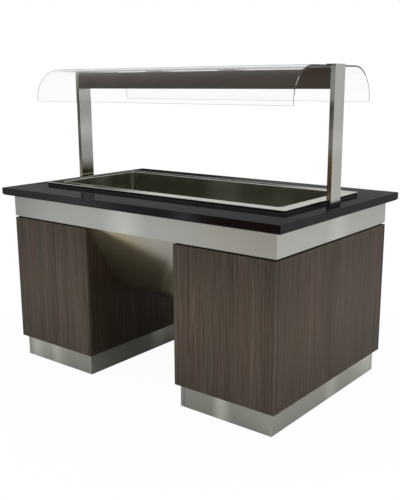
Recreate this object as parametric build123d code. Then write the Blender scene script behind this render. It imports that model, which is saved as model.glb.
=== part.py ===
from build123d import *
import os
from math import sin, cos, radians, hypot

os.makedirs("parts", exist_ok=True)

# Heated salad bar, an island unit with a gantry, millimetres.
# +Z is up, X runs along the long side, -Y is the customers' side.
# The origin is the middle of the footprint, on the floor.

# ---------------------------------------------------------------- driving sizes
TOP_L, TOP_W, TOP_Z = 1600.0, 1000.0, 860.0      # stone worktop and its height
SLAB_T, BACK_T = 30.0, 5.0                       # polished slab, backing board
BACK_INSET = 4.0
CUT_X, CUT_Y = 660.0, 274.0                      # half sizes of the worktop cut-out

APRON_X, APRON_Y = 760.0, 459.0                  # half sizes of the steel apron
APRON_Z0, APRON_Z1 = 721.0, 825.0
SHEET = 1.5

PED_IN = 260.0                                   # inner faces of the pedestals
PED_Z0, PED_Z1 = 100.5, 713.0
BOARD = 18.0
GAP_IN = 10.0                                    # how far the shadow gap is set back

PLINTH_OUT, PLINTH_Y, PLINTH_INNER = 740.0, 440.0, 277.5
PLINTH_RETURN = 18.0

TANK_X, TANK_Y = 640.0, 254.0                    # half sizes of the well opening
TANK_R = 20.0
TANK_Z0 = 655.0                                  # floor of the well
RIM_X, RIM_Y, RIM_Z = 695.0, 305.0, 875.0
SURROUND_Z = 873.0

POST_X0, POST_X1, POST_Y = 726.5, 747.5, 41.0
POST_Z0, POST_Z1, POST_TOP = 871.0, 1414.0, 1424.0
POST_WALL = 2.0
BEAM_Z0, BEAM_Z1 = 1327.0, 1410.0

GLASS_T, GLASS_Y, GLASS_R = 6.0, 314.0, 140.0
GLASS_TOP, GLASS_LOW, GLASS_X = 1420.0, 1270.0, 725.0

TROUGH_Y, TROUGH_Z, TROUGH_R, TROUGH_RUN = 446.0, 365.0, 190.0, 0.5645

TUBE, TUBE_WALL = 40.0, 2.0                      # bridge frame tube
LEG, LEG_IN, LEG_OUT, LEG_Y = 30.0, 281.0, 737.0, 437.0

DRAIN_X, DRAIN_Y = -330.0, 0.0
PIPE_R, PIPE_BORE, HOSE_R = 16.85, 13.6, 15.0

DOOR_GAP = 2.0
HINGE_X, HINGE_Y, HINGE_R, PIN_R, PIN_CLEAR = 741.0, 463.0, 3.8, 2.0, 0.05
HINGE_Z = (190.0, 620.0)

PANEL_X0, PANEL_X1, PANEL_Z0, PANEL_Z1 = -560.0, -340.0, 728.0, 780.0
KNOB_X, CTRL_Z = -385.0, 754.0
ROCKER_X = (-480.0, -525.0)
ROCKER_PIVOT_Y, ROCKER_TILT = 458.0, 10.0


# ---------------------------------------------------------------- helpers
def block(x0, x1, y0, y1, z0, z1):
    return Pos(min(x0, x1), min(y0, y1), min(z0, z1)) * Box(
        abs(x1 - x0), abs(y1 - y0), abs(z1 - z0), align=(Align.MIN, Align.MIN, Align.MIN))


def slab(hx, hy, z0, z1, r=0.0):
    face = RectangleRounded(2 * hx, 2 * hy, r) if r else Rectangle(2 * hx, 2 * hy)
    return Pos(0, 0, z0) * extrude(face, z1 - z0)


def plan(points, z0, z1):
    return Pos(0, 0, z0) * extrude(make_face(Polyline(*points, close=True)), z1 - z0)


def rod(p0, p1, r):
    a, b = Vector(*p0), Vector(*p1)
    return extrude(Plane(origin=a, z_dir=b - a) * Circle(r), (b - a).length)


def hexbar(p0, p1, across):
    a, b = Vector(*p0), Vector(*p1)
    return extrude(Plane(origin=a, z_dir=b - a) * RegularPolygon(across / 2, 6, major_radius=False), (b - a).length)


def section_x(points, x0, x1, radii=None):
    """Close a Y-Z outline, round chosen corners and pull it from x0 to x1."""
    face = make_face(Polyline(*points, close=True))
    if radii:
        for (y, z), r in radii:
            v = sorted(face.vertices(), key=lambda k: hypot(k.X - y, k.Y - z))[0]
            face = fillet(v, r)
    return Pos(x0, 0, 0) * extrude(Plane.YZ * face, x1 - x0)


def tube_x(x0, x1, y0, y1, z0, z1, t):
    return block(x0, x1, y0, y1, z0, z1) - block(x0 - 1, x1 + 1, y0 + t, y1 - t, z0 + t, z1 - t)


def tube_y(x0, x1, y0, y1, z0, z1, t):
    return block(x0, x1, y0, y1, z0, z1) - block(x0 + t, x1 - t, y0 - 1, y1 + 1, z0 + t, z1 - t)


def flip(shape):
    return mirror(shape, about=Plane.YZ)


def mitred(ring, hx, hy, z0, z1):
    """Cut a rectangular ring into its four strips, along the diagonals of its corners."""
    k = hx - hy
    front = plan([(-hx, -hy), (hx, -hy), (k, 0), (-k, 0)], z0, z1)
    side = plan([(hx, -hy), (hx, hy), (k, 0)], z0, z1)
    return [ring & front, ring & mirror(front, about=Plane.XZ), ring & side, ring & flip(side)]


def solids_of(shape):
    return list(shape.solids())


def save(name, *shapes):
    out = []
    for s in shapes:
        out += solids_of(s)
    piece = out[0] if len(out) == 1 else Compound(children=out)
    piece.label = name
    export_step(piece, "parts/%s.step" % name)
    print("%-26s %2d solids" % (name, len(out)))


# ---------------------------------------------------------------- worktop
worktop = slab(TOP_L / 2, TOP_W / 2, TOP_Z - SLAB_T, TOP_Z)
worktop = chamfer(worktop.edges().group_by(Axis.Z)[-1], 1.2)
worktop -= slab(CUT_X, CUT_Y, TOP_Z - SLAB_T - 1, TOP_Z + 1, 12)
backing = slab(TOP_L / 2 - BACK_INSET, TOP_W / 2 - BACK_INSET, APRON_Z1, TOP_Z - SLAB_T)
backing -= slab(CUT_X, CUT_Y, APRON_Z1 - 1, TOP_Z, 12)
STUD_X = (POST_X0 + POST_X1) / 2
STUD_Y = 22.0
for sx in (-1, 1):
    for sy in (-1, 1):
        hole = rod((sx * STUD_X, sy * STUD_Y, 700), (sx * STUD_X, sy * STUD_Y, 900), 5.5)
        worktop -= hole
        backing -= hole
save("worktop_slab", worktop)
save("slab_backing_board", backing)

# ---------------------------------------------------------------- well
surround = slab(RIM_X - 1.5, RIM_Y - 1.5, TOP_Z, SURROUND_Z, 3) - slab(CUT_X, CUT_Y, TOP_Z - 1, SURROUND_Z + 1, 12)
save("well_surround", surround)

rim = slab(RIM_X, RIM_Y, SURROUND_Z, RIM_Z, 4)
rim = fillet(rim.edges().group_by(Axis.Z)[-1], 1.2)
rim -= slab(TANK_X, TANK_Y, SURROUND_Z - 1, RIM_Z + 1, TANK_R)
save("tank_rim_flange", *mitred(rim, RIM_X, RIM_Y, SURROUND_Z - 1, RIM_Z + 1))

# the well is welded from a floor, four walls and four rounded corner strips
tank_floor = slab(TANK_X + SHEET, TANK_Y + SHEET, TANK_Z0 - SHEET, TANK_Z0, TANK_R + SHEET)
tank_floor -= rod((DRAIN_X, DRAIN_Y, TANK_Z0 - 10), (DRAIN_X, DRAIN_Y, TANK_Z0 + 10), 25)
flat_x, flat_y = TANK_X - TANK_R, TANK_Y - TANK_R
basin = [tank_floor]
for s in (-1, 1):
    basin.append(block(-flat_x, flat_x, s * TANK_Y, s * (TANK_Y + SHEET), TANK_Z0, SURROUND_Z))
    basin.append(block(s * TANK_X, s * (TANK_X + SHEET), -flat_y, flat_y, TANK_Z0, SURROUND_Z))
shell = slab(TANK_X + SHEET, TANK_Y + SHEET, TANK_Z0, SURROUND_Z, TANK_R + SHEET)
shell -= slab(TANK_X, TANK_Y, TANK_Z0 - 1, SURROUND_Z + 1, TANK_R)
for sx in (-1, 1):
    for sy in (-1, 1):
        basin.append(shell & block(sx * flat_x, sx * 700, sy * flat_y, sy * 300, TANK_Z0, SURROUND_Z))
save("tank_basin", *basin)

# insulation round the walls and below the elements
JACKET = 15.0
jacket = slab(TANK_X + SHEET + 0.5 + JACKET, TANK_Y + SHEET + 0.5 + JACKET, 673, 822, 40)
jacket -= slab(TANK_X + SHEET + 0.5, TANK_Y + SHEET + 0.5, 660, 830, TANK_R + SHEET + 0.5)
TRAY_X, TRAY_Y = TANK_X + 17.0, TANK_Y + 16.5
board = slab(TRAY_X - 0.5, TRAY_Y - 0.5, 599.2, 630)
board -= rod((DRAIN_X, DRAIN_Y, 590), (DRAIN_X, DRAIN_Y, 640), 27)
save("tank_insulation", jacket, board)

tray_floor = slab(TRAY_X + 1, TRAY_Y + 1, 598, 599)
tray_floor -= rod((DRAIN_X, DRAIN_Y, 590), (DRAIN_X, DRAIN_Y, 605), 27)
tray_wall = slab(TRAY_X + 1, TRAY_Y + 1, 599, 671.5) - slab(TRAY_X, TRAY_Y, 598, 673)
tray_lip = slab(TRAY_X + 1, TRAY_Y + 1, 671.5, 672.5)
tray_lip -= slab(TANK_X + SHEET + 0.4, TANK_Y + SHEET + 0.4, 660, 680, TANK_R + SHEET + 0.4)
save("heater_cover_tray", tray_floor, *mitred(tray_wall, TRAY_X + 1, TRAY_Y + 1, 590, 680),
     *mitred(tray_lip, TRAY_X + 1, TRAY_Y + 1, 590, 680))

# heating elements pressed on the underside of the well
EL_R = 4.25
EL_Z = TANK_Z0 - SHEET - EL_R
EL_PATH = [(-600, -200), (-45, -200), (-45, -100), (-555, -100), (-555, 100), (-45, 100), (-45, 200), (-600, 200)]
path = FilletPolyline(*[(x, y, EL_Z) for x, y in EL_PATH], radius=28)
element = sweep(Plane(origin=path @ 0, z_dir=path % 0) * Circle(EL_R), path=path)
save("heating_elements", element, flip(element))

clamps = [block(x - 11, x + 11, -228, 228, EL_Z - EL_R - 2, EL_Z - EL_R) for x in (-480, -150, 150, 480)]
save("element_clamps", *clamps)

# ---------------------------------------------------------------- drain
at = Pos(DRAIN_X, DRAIN_Y, 0)
waste = Pos(0, 0, 655) * Cylinder(36, 2.5, align=(Align.CENTER, Align.CENTER, Align.MIN))
waste += Pos(0, 0, 590) * Cylinder(24, 65, align=(Align.CENTER, Align.CENTER, Align.MIN))
waste -= Pos(0, 0, 606) * Cylinder(20, 60, align=(Align.CENTER, Align.CENTER, Align.MIN))
waste -= Pos(0, 0, 580) * Cylinder(PIPE_R, 40, align=(Align.CENTER, Align.CENTER, Align.MIN))
nut = extrude(RegularPolygon(31, 6), 9) - extrude(Circle(24), 9)
nut = Pos(0, 0, TANK_Z0 - SHEET - 9) * nut
strainer = extrude(Circle(19.9), 1.5)
for i in range(6):
    a = radians(60 * i)
    strainer -= Pos(11.5 * cos(a), 11.5 * sin(a), 0) * extrude(Circle(3.2), 1.5)
strainer -= extrude(Circle(3.2), 1.5)
strainer = Pos(0, 0, 655) * strainer
save("drain_waste", at * waste, at * nut, at * strainer)

VALVE_Z0, VALVE_Z1, BALL_Z = 400.0, 480.0, 440.0


def pipe(z0, z1):
    return Pos(0, 0, z0) * extrude(Circle(PIPE_R) - Circle(PIPE_BORE), z1 - z0)


tail = pipe(90, VALVE_Z0 + 14)
tail += Pos(0, 0, 40) * extrude(Circle(HOSE_R) - Circle(HOSE_R - 2.5), 50)
tail += Pos(0, 0, 88) * extrude(Circle(PIPE_R) - Circle(HOSE_R - 2.5), 4)
save("drain_pipes", at * pipe(VALVE_Z1 - 14, 606), at * tail)

valve = Pos(0, 0, VALVE_Z0 + 14) * extrude(Circle(23), VALVE_Z1 - VALVE_Z0 - 28)
valve += Pos(0, 0, VALVE_Z0) * extrude(RegularPolygon(22.5, 6), 16)
valve += Pos(0, 0, VALVE_Z1 - 16) * extrude(RegularPolygon(22.5, 6), 16)
valve += rod((0, 0, BALL_Z), (0, 32, BALL_Z), 9)
valve -= Pos(0, 0, VALVE_Z0 - 1) * extrude(Circle(PIPE_R), 15)
valve -= Pos(0, 0, VALVE_Z1 - 14) * extrude(Circle(PIPE_R), 20)
valve -= Pos(0, 0, VALVE_Z0) * extrude(Circle(11), VALVE_Z1 - VALVE_Z0)
valve -= Pos(0, 0, BALL_Z) * Sphere(16.3)
valve -= rod((0, 0, BALL_Z), (0, 40, BALL_Z), 4.05)
save("drain_valve_body", at * valve)

ball = Pos(0, 0, BALL_Z) * Sphere(16) - rod((-20, 0, BALL_Z), (20, 0, BALL_Z), 11)
ball += rod((0, 14, BALL_Z), (0, 40, BALL_Z), 4)
save("drain_valve_ball", at * ball)

lever = block(-104, 11, 33, 36, BALL_Z - 9, BALL_Z + 9)
lever = fillet(lever.edges().filter_by(Axis.Y), 8)
lever -= rod((0, 30, BALL_Z), (0, 40, BALL_Z), 4)
grip = block(-106, -34, 30.5, 38.5, BALL_Z - 11, BALL_Z + 11)
grip = fillet(grip.edges().filter_by(Axis.X), 2.5)
grip -= block(-104, -30, 33, 36, BALL_Z - 9, BALL_Z + 9)
save("drain_valve_lever", at * lever, at * grip)

# ---------------------------------------------------------------- steel chassis
fz0, fz1 = APRON_Z1 - TUBE, APRON_Z1
fx, fy = APRON_X - SHEET - 1.5, APRON_Y - SHEET - 1.0
tubes = []
for sy in (-1, 1):
    a, b = sorted((sy * fy, sy * (fy - TUBE)))
    tubes.append(tube_x(-(fx - TUBE), fx - TUBE, a, b, fz0, fz1, TUBE_WALL))
    a, b = sorted((sy * 276.0, sy * 306.0))
    tubes.append(tube_x(-(fx - TUBE), fx - TUBE, a, b, fz0, fz1, TUBE_WALL))
for sx in (-1, 1):
    a, b = sorted((sx * fx, sx * (fx - TUBE)))
    end = tube_y(a, b, -fy, fy, fz0, fz1, TUBE_WALL)
    for sy in (-1, 1):
        end -= rod((sx * STUD_X, sy * STUD_Y, 700), (sx * STUD_X, sy * STUD_Y, 900), 5.5)
    tubes.append(end)
save("bridge_frame", *tubes)

legs, feet = [], []
for sx in (-1, 1):
    for x0 in (LEG_IN, LEG_OUT - LEG):
        for sy in (-1, 1):
            xa, xb = sorted((sx * x0, sx * (x0 + LEG)))
            ya, yb = sorted((sy * LEG_Y, sy * (LEG_Y - LEG)))
            cx, cy = (xa + xb) / 2, (ya + yb) / 2
            leg = block(xa, xb, ya, yb, 40, fz0 - 4)
            leg -= block(xa + 2, xb - 2, ya + 2, yb - 2, 46, fz0 - 4)
            # the foot stands a little inboard, clear of the plinth
            px, py = cx + sx * (5 if x0 < 500 else -5), cy - sy * 5
            leg -= rod((px, py, 30), (px, py, 60), 5)
            plate = 22 if x0 < 500 else 17
            leg += block(cx - plate, cx + plate, cy - sy * 22, cy + sy * 16, fz0 - 4, fz0)
            legs.append(leg)
            foot = Pos(px, py, 0) * Cylinder(19, 8, align=(Align.CENTER, Align.CENTER, Align.MIN))
            foot = chamfer(foot.edges().group_by(Axis.Z)[-1], 2)
            foot += Pos(px, py, 8) * Cylinder(5, 54, align=(Align.CENTER, Align.CENTER, Align.MIN))
            foot += Pos(px, py, 26) * extrude(RegularPolygon(9, 6), 8)
            feet.append(foot)
save("pedestal_legs", *legs)
save("levelling_feet", *feet)

# ---------------------------------------------------------------- belly under the well
def trough_outline(t):
    k = TROUGH_RUN
    run = hypot(1, k)
    y_in = TROUGH_Y - t
    # the sloping side moved inwards by t, measured square to it
    def y_side(z):
        return TROUGH_Y - (APRON_Z0 - z) * k - t * run
    z_bend = APRON_Z0 - (TROUGH_Y - t * run - y_in) / k if t else APRON_Z0
    zb = TROUGH_Z + t
    return [(-y_in, fz0), (-y_in, z_bend), (-y_side(zb), zb), (y_side(zb), zb), (y_in, z_bend), (y_in, fz0)]


o, i = trough_outline(0.0), trough_outline(SHEET)
tx = PED_IN - 0.5
trough = section_x(o, -tx, tx, [(o[2], TROUGH_R), (o[3], TROUGH_R)])
i[0], i[5] = (i[0][0], fz0 - SHEET), (i[5][0], fz0 - SHEET)
inside = section_x(i, -tx - 1, tx + 1, [(i[2], TROUGH_R - SHEET), (i[3], TROUGH_R - SHEET)])
trough -= inside
trough -= block(-tx - 1, tx + 1, -420, 420, fz0 - SHEET - 1, fz0 + 1)
save("under_trough", trough)

# ---------------------------------------------------------------- apron
def apron_long(sy):
    s = plan([(-APRON_X, sy * APRON_Y), (APRON_X, sy * APRON_Y),
              (APRON_X - SHEET, sy * (APRON_Y - SHEET)), (-APRON_X + SHEET, sy * (APRON_Y - SHEET))],
             APRON_Z0, APRON_Z1)
    return s + plan([(-APRON_X + SHEET, sy * (APRON_Y - SHEET)), (APRON_X - SHEET, sy * (APRON_Y - SHEET)),
                     (APRON_X - 11.5, sy * (APRON_Y - 11.5)), (-APRON_X + 11.5, sy * (APRON_Y - 11.5))],
                    APRON_Z0, APRON_Z0 + SHEET)


def apron_end(sx):
    s = plan([(sx * APRON_X, -APRON_Y), (sx * APRON_X, APRON_Y),
              (sx * (APRON_X - SHEET), APRON_Y - SHEET), (sx * (APRON_X - SHEET), -APRON_Y + SHEET)],
             APRON_Z0, APRON_Z1)
    return s + plan([(sx * (APRON_X - SHEET), -APRON_Y + SHEET), (sx * (APRON_X - SHEET), APRON_Y - SHEET),
                     (sx * (APRON_X - 11.5), APRON_Y - 11.5), (sx * (APRON_X - 11.5), -APRON_Y + 11.5)],
                    APRON_Z0, APRON_Z0 + SHEET)


apron_rear = apron_long(1) - block(PANEL_X0 + 15, PANEL_X1 - 15, 450, 470, PANEL_Z0 + 5, PANEL_Z1 - 5)
save("apron_front", apron_long(-1))
save("apron_back", apron_rear)
save("apron_left", apron_end(-1))
save("apron_right", apron_end(1))

# ---------------------------------------------------------------- pedestals
front = block(PED_IN, APRON_X, -APRON_Y, -APRON_Y + BOARD, PED_Z0, PED_Z1)
end = block(APRON_X - BOARD, APRON_X, -APRON_Y + BOARD, APRON_Y, PED_Z0, PED_Z1)
inner_panel = block(PED_IN, PED_IN + BOARD, -APRON_Y + BOARD, APRON_Y, PED_Z0, PED_Z1)
inner_panel -= block(PED_IN - 1, PED_IN + BOARD + 1, -285, 285, 588, PED_Z1 + 1)
base = block(PED_IN + BOARD, APRON_X - BOARD, -APRON_Y + BOARD, APRON_Y - BOARD - 2, PED_Z0, PED_Z0 + BOARD)
for sy in (-1, 1):
    ya, yb = sorted((sy * APRON_Y, sy * (LEG_Y - LEG)))
    base -= block(PED_IN, LEG_IN + LEG, ya, yb, PED_Z0 - 1, PED_Z0 + BOARD + 1)
    base -= block(LEG_OUT - LEG, APRON_X, ya, yb, PED_Z0 - 1, PED_Z0 + BOARD + 1)
left_base = flip(base) - rod((DRAIN_X, DRAIN_Y, 90), (DRAIN_X, DRAIN_Y, 130), 30)
save("right_front_panel", front)
save("left_front_panel", flip(front))
save("right_end_panel", end)
save("left_end_panel", flip(end))
save("right_inner_panel", inner_panel)
save("left_inner_panel", flip(inner_panel))
save("bottom_boards", base, left_base)

strip = block(PED_IN + GAP_IN, APRON_X - GAP_IN, -APRON_Y + GAP_IN, APRON_Y - GAP_IN, PED_Z1, APRON_Z0)
strip -= block(PED_IN + BOARD, APRON_X - BOARD, -APRON_Y + BOARD, APRON_Y - BOARD, PED_Z1 - 1, APRON_Z0 + 1)
strip -= block(PED_IN, PED_IN + BOARD + 2, -300, 300, PED_Z1 - 1, APRON_Z0 + 1)
save("shadow_gap_strips", strip, flip(strip))

# each plinth has a folded sheet for its front and right end, and mitred sheets
# for its left end and rear, which turn the two far corners with a short return
def plinth(x0, x1):
    y, t, r = PLINTH_Y, SHEET, PLINTH_RETURN
    a = block(x0 + r + 0.8, x1, -y, -y + t, 0, PED_Z0) + block(x1 - t, x1, -y, y - r - 0.8, 0, PED_Z0)
    b = plan([(x0, y), (x0, -y), (x0 + r, -y), (x0 + r, -y + t), (x0 + t, -y + t), (x0 + t, y - t)], 0, PED_Z0)
    c = plan([(x0, y), (x0 + t, y - t), (x1 - t, y - t), (x1 - t, y - r), (x1, y - r), (x1, y)], 0, PED_Z0)
    return a, b, c


la, lb, lc = plinth(-PLINTH_OUT, -PLINTH_INNER)
ra, rb, rc = plinth(PLINTH_INNER, PLINTH_OUT)
GLAND_X, GLAND_Z = -600.0, 55.0
lc -= rod((GLAND_X, 430, GLAND_Z), (GLAND_X, 450, GLAND_Z), 10)
save("plinth_front_sheets", la, ra)
save("plinth_rear_sheets", lb, lc, rb, rc)

gland = rod((GLAND_X, 424, GLAND_Z), (GLAND_X, 446, GLAND_Z), 10)
gland += hexbar((GLAND_X, 440, GLAND_Z), (GLAND_X, 446, GLAND_Z), 24)
gland += rod((GLAND_X, 446, GLAND_Z), (GLAND_X, 460, GLAND_Z), 11.5)
gland = fillet(gland.edges().group_by(Axis.Y)[-1], 2.5)
gland -= rod((GLAND_X, 420, GLAND_Z), (GLAND_X, 470, GLAND_Z), 6)
locknut = hexbar((GLAND_X, 433.5, GLAND_Z), (GLAND_X, 438.5, GLAND_Z), 24)
locknut -= rod((GLAND_X, 430, GLAND_Z), (GLAND_X, 440, GLAND_Z), 10)
save("inlet_gland", gland, locknut)

terminal = block(-338, -278, -260, -120, 260, 420)
terminal = fillet(terminal.edges().filter_by(Axis.X), 6)
terminal -= block(-335, -281, -257, -123, 263, 417)
save("terminal_box", terminal)

# ---------------------------------------------------------------- rear doors
door = block(PED_IN + BOARD + DOOR_GAP, APRON_X - BOARD - 2.5, APRON_Y - BOARD, APRON_Y, PED_Z0 + 2, PED_Z1 - 2)
save("right_door_panel", door)
save("left_door_panel", flip(door))

PULL_X, PULL_Z0, PULL_Z1, PULL_Y = 322.0, 480.0, 608.0, 484.0
p = FilletPolyline((PULL_X, APRON_Y, PULL_Z0), (PULL_X, PULL_Y, PULL_Z0), (PULL_X, PULL_Y, PULL_Z1),
                   (PULL_X, APRON_Y, PULL_Z1), radius=9)
pull = sweep(Plane(origin=p @ 0, z_dir=p % 0) * Circle(5), path=p)

door_side, frame_side = [], []
for zc in HINGE_Z:
    leaf = block(723, 736.5, APRON_Y, APRON_Y + 1.5, zc - 30, zc + 30)
    leaf += block(736, HINGE_X, APRON_Y, APRON_Y + 1.5, zc - 9.8, zc + 9.8)
    leaf += rod((HINGE_X, HINGE_Y, zc - 9.8), (HINGE_X, HINGE_Y, zc + 9.8), HINGE_R)
    leaf -= rod((HINGE_X, HINGE_Y, zc - 20), (HINGE_X, HINGE_Y, zc + 20), PIN_R + PIN_CLEAR)
    door_side.append(leaf)
    fixed = block(745.5, 758, APRON_Y, APRON_Y + 1.5, zc - 30, zc + 30)
    for z0, z1 in ((zc - 30, zc - 10.2), (zc + 10.2, zc + 30)):
        fixed += block(HINGE_X, 746, APRON_Y, APRON_Y + 1.5, z0, z1)
        fixed += rod((HINGE_X, HINGE_Y, z0), (HINGE_X, HINGE_Y, z1), HINGE_R)
    fixed += rod((HINGE_X, HINGE_Y, zc - 30), (HINGE_X, HINGE_Y, zc + 30), PIN_R)
    frame_side.append(fixed)
strike = block(312, 324, APRON_Y - BOARD - 1.2, APRON_Y - BOARD, 395, 435)
catch = block(LEG_IN + LEG, 325, 414, 439.5, 390, 440)
save("right_door_fittings", *door_side, strike, pull)
save("left_door_fittings", *[flip(s) for s in door_side], flip(strike), flip(pull))
save("door_hinges_and_catches", *frame_side, catch, *[flip(s) for s in frame_side], flip(catch))

# ---------------------------------------------------------------- controls on the rear apron
face = block(PANEL_X0, PANEL_X1, APRON_Y, APRON_Y + 3, PANEL_Z0, PANEL_Z1)
face = fillet(face.edges().filter_by(Axis.Y), 4)
face -= rod((KNOB_X, 450, CTRL_Z), (KNOB_X, 470, CTRL_Z), 5)
housings, rockers, lamps = [], [], []
for x in ROCKER_X:
    face -= block(x - 9.5, x + 9.5, 450, 470, CTRL_Z - 15.5, CTRL_Z + 15.5)
    h = block(x - 9.5, x + 9.5, 438, 462, CTRL_Z - 15.5, CTRL_Z + 15.5)
    h += block(x - 11, x + 11, 462, 464, CTRL_Z - 17.5, CTRL_Z + 17.5)
    h -= block(x - 7, x + 7, 445, 470, CTRL_Z - 14.3, CTRL_Z + 14.3)
    h -= rod((x - 9, ROCKER_PIVOT_Y, CTRL_Z), (x + 9, ROCKER_PIVOT_Y, CTRL_Z), 1.56)
    housings.append(h)
    prof = [(-12, 7), (0, 5.2), (12, 7), (11, -1), (3, -9), (-3, -9), (-11, -1)]
    c, s = cos(radians(ROCKER_TILT)), sin(radians(ROCKER_TILT))
    pts = [(ROCKER_PIVOT_Y + v * c - u * s, CTRL_Z + u * c + v * s) for u, v in prof]
    r = section_x(pts, x - 6.6, x + 6.6)
    r += rod((x - 8.8, ROCKER_PIVOT_Y, CTRL_Z), (x + 8.8, ROCKER_PIVOT_Y, CTRL_Z), 1.5)
    rockers.append(r)
for x in (-435.0, -452.0):
    face -= rod((x, 450, CTRL_Z), (x, 470, CTRL_Z), 3.5)
    l = rod((x, 445, CTRL_Z), (x, 462, CTRL_Z), 3.5) + rod((x, 462, CTRL_Z), (x, 464, CTRL_Z), 5)
    lamps.append(fillet(l.edges().group_by(Axis.Y)[-1], 1.2))
save("control_panel", face)
save("rocker_housings", *housings)
save("heater_rocker", rockers[0])
save("lamp_rocker", rockers[1])
save("pilot_lamps", *lamps)

box = block(PANEL_X0 + 10, PANEL_X1 - 10, 400, APRON_Y - SHEET, 729, 779)
box -= block(PANEL_X0 + 11.2, PANEL_X1 - 11.2, 401.2, APRON_Y, 730.2, 777.8)
save("control_box", box)

stat = block(KNOB_X - 18, KNOB_X + 18, 425, 455, CTRL_Z - 16, CTRL_Z + 16)
stat += rod((KNOB_X, 455, CTRL_Z), (KNOB_X, 462.6, CTRL_Z), 5)
stat -= rod((KNOB_X, 438, CTRL_Z), (KNOB_X, 470, CTRL_Z), 3.05)
probe = rod((-60, 0, 648), (60, 0, 648), 3)
save("thermostat", stat, probe)

knob = rod((KNOB_X, 463.5, CTRL_Z), (KNOB_X, 482, CTRL_Z), 17)
knob = fillet(knob.edges().group_by(Axis.Y)[-1], 2)
for k in range(12):
    a = radians(30 * k + 15)
    knob -= rod((KNOB_X + 18.6 * cos(a), 466.5, CTRL_Z + 18.6 * sin(a)), (KNOB_X + 18.6 * cos(a), 490, CTRL_Z + 18.6 * sin(a)), 3)
knob -= rod((KNOB_X, 460, CTRL_Z), (KNOB_X, 476, CTRL_Z), 3)
spindle = rod((KNOB_X, 440, CTRL_Z), (KNOB_X, 476, CTRL_Z), 3)
save("thermostat_knob", knob, spindle)

# ---------------------------------------------------------------- gantry
post = block(POST_X0, POST_X1, -POST_Y, POST_Y, POST_Z0, POST_Z1)
post = fillet(post.edges().filter_by(Axis.Z), 1.2)
post -= block(POST_X0 + POST_WALL, POST_X1 - POST_WALL, -POST_Y + POST_WALL, POST_Y - POST_WALL, POST_Z0 - 1, POST_Z1 + 1)
post += block(POST_X1 - POST_WALL, POST_X1, -POST_Y + 0.4, POST_Y - 0.4, POST_Z1 - 4, POST_TOP)
SCREW_Y, SCREW_Z = 29.0, 960.0
for sy in (-1, 1):
    post -= rod((POST_X0 - 1, sy * SCREW_Y, SCREW_Z), (POST_X0 + 5, sy * SCREW_Y, SCREW_Z), 2.5)
save("gantry_post_right", post)
save("gantry_post_left", flip(post))

pad = block(POST_X0 - 1, POST_X1 + 1, -POST_Y - 1, POST_Y + 1, TOP_Z, POST_Z0)
pad = chamfer(pad.edges().group_by(Axis.Z)[-1], 0.8)
spigot = block(POST_X0 + 2.25, POST_X1 - 2.25, -38.75, 38.75, POST_Z0, 990)
plug = block(POST_X0 + 2.25, POST_X1 - 2.25, -38.75, 38.75, 1392, POST_Z1)
bolts, screws = [], []
for sy in (-1, 1):
    pad -= rod((STUD_X, sy * STUD_Y, 850), (STUD_X, sy * STUD_Y, 880), 5.5)
    spigot -= rod((STUD_X, sy * STUD_Y, 860), (STUD_X, sy * STUD_Y, 905), 5)
    spigot -= rod((POST_X0, sy * SCREW_Y, SCREW_Z), (POST_X0 + 12, sy * SCREW_Y, SCREW_Z), 2.5)
    bolts.append(rod((STUD_X, sy * STUD_Y, 767), (STUD_X, sy * STUD_Y, 905), 5))
    n = Pos(STUD_X, sy * STUD_Y, fz0 - 10) * extrude(RegularPolygon(8.5, 6, major_radius=False) - Circle(5), 8)
    w = Pos(STUD_X, sy * STUD_Y, fz0 - 2) * extrude(Circle(10.5) - Circle(5), 2)
    bolts += [n, w]
    head = rod((POST_X0, sy * SCREW_Y, SCREW_Z), (POST_X0 - 2.4, sy * SCREW_Y, SCREW_Z), 4.4)
    head = fillet(head.edges().group_by(Axis.X)[0], 1.6)
    head += rod((POST_X0, sy * SCREW_Y, SCREW_Z), (POST_X0 + 12, sy * SCREW_Y, SCREW_Z), 2.5)
    head -= hexbar((POST_X0 - 3, sy * SCREW_Y, SCREW_Z), (POST_X0 - 1.2, sy * SCREW_Y, SCREW_Z), 3)
    screws.append(head)
cap = block(POST_X0 - 22, POST_X1 - POST_WALL, -POST_Y, POST_Y, GLASS_TOP, POST_TOP)
cap = fillet(cap.edges().filter_by(Axis.Z).group_by(Axis.X)[0], 2)
seal = block(POST_X0, POST_X1 - POST_WALL, -POST_Y + 0.5, POST_Y - 0.5, POST_Z1, GLASS_TOP)
for sy in (-1, 1):
    shank = rod((STUD_X, sy * 25, 1398), (STUD_X, sy * 25, POST_TOP), 2.5)
    cone = Pos(STUD_X, sy * 25, POST_TOP - 2.5) * Cone(2.5, 5, 2.5, align=(Align.CENTER, Align.CENTER, Align.MIN))
    cap -= shank + cone
    seal -= shank
    plug -= shank
    screws.append(shank + cone - hexbar((STUD_X, sy * 25, POST_TOP + 0.1), (STUD_X, sy * 25, POST_TOP - 1.8), 3))
save("post_foot_pads", pad, flip(pad))
save("post_inner_blocks", spigot, plug, flip(spigot), flip(plug))
save("post_anchor_bolts", *bolts, *[flip(b) for b in bolts])
save("gantry_screws", *screws, *[flip(b) for b in screws])
save("post_cap_plates", cap, flip(cap))

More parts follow.
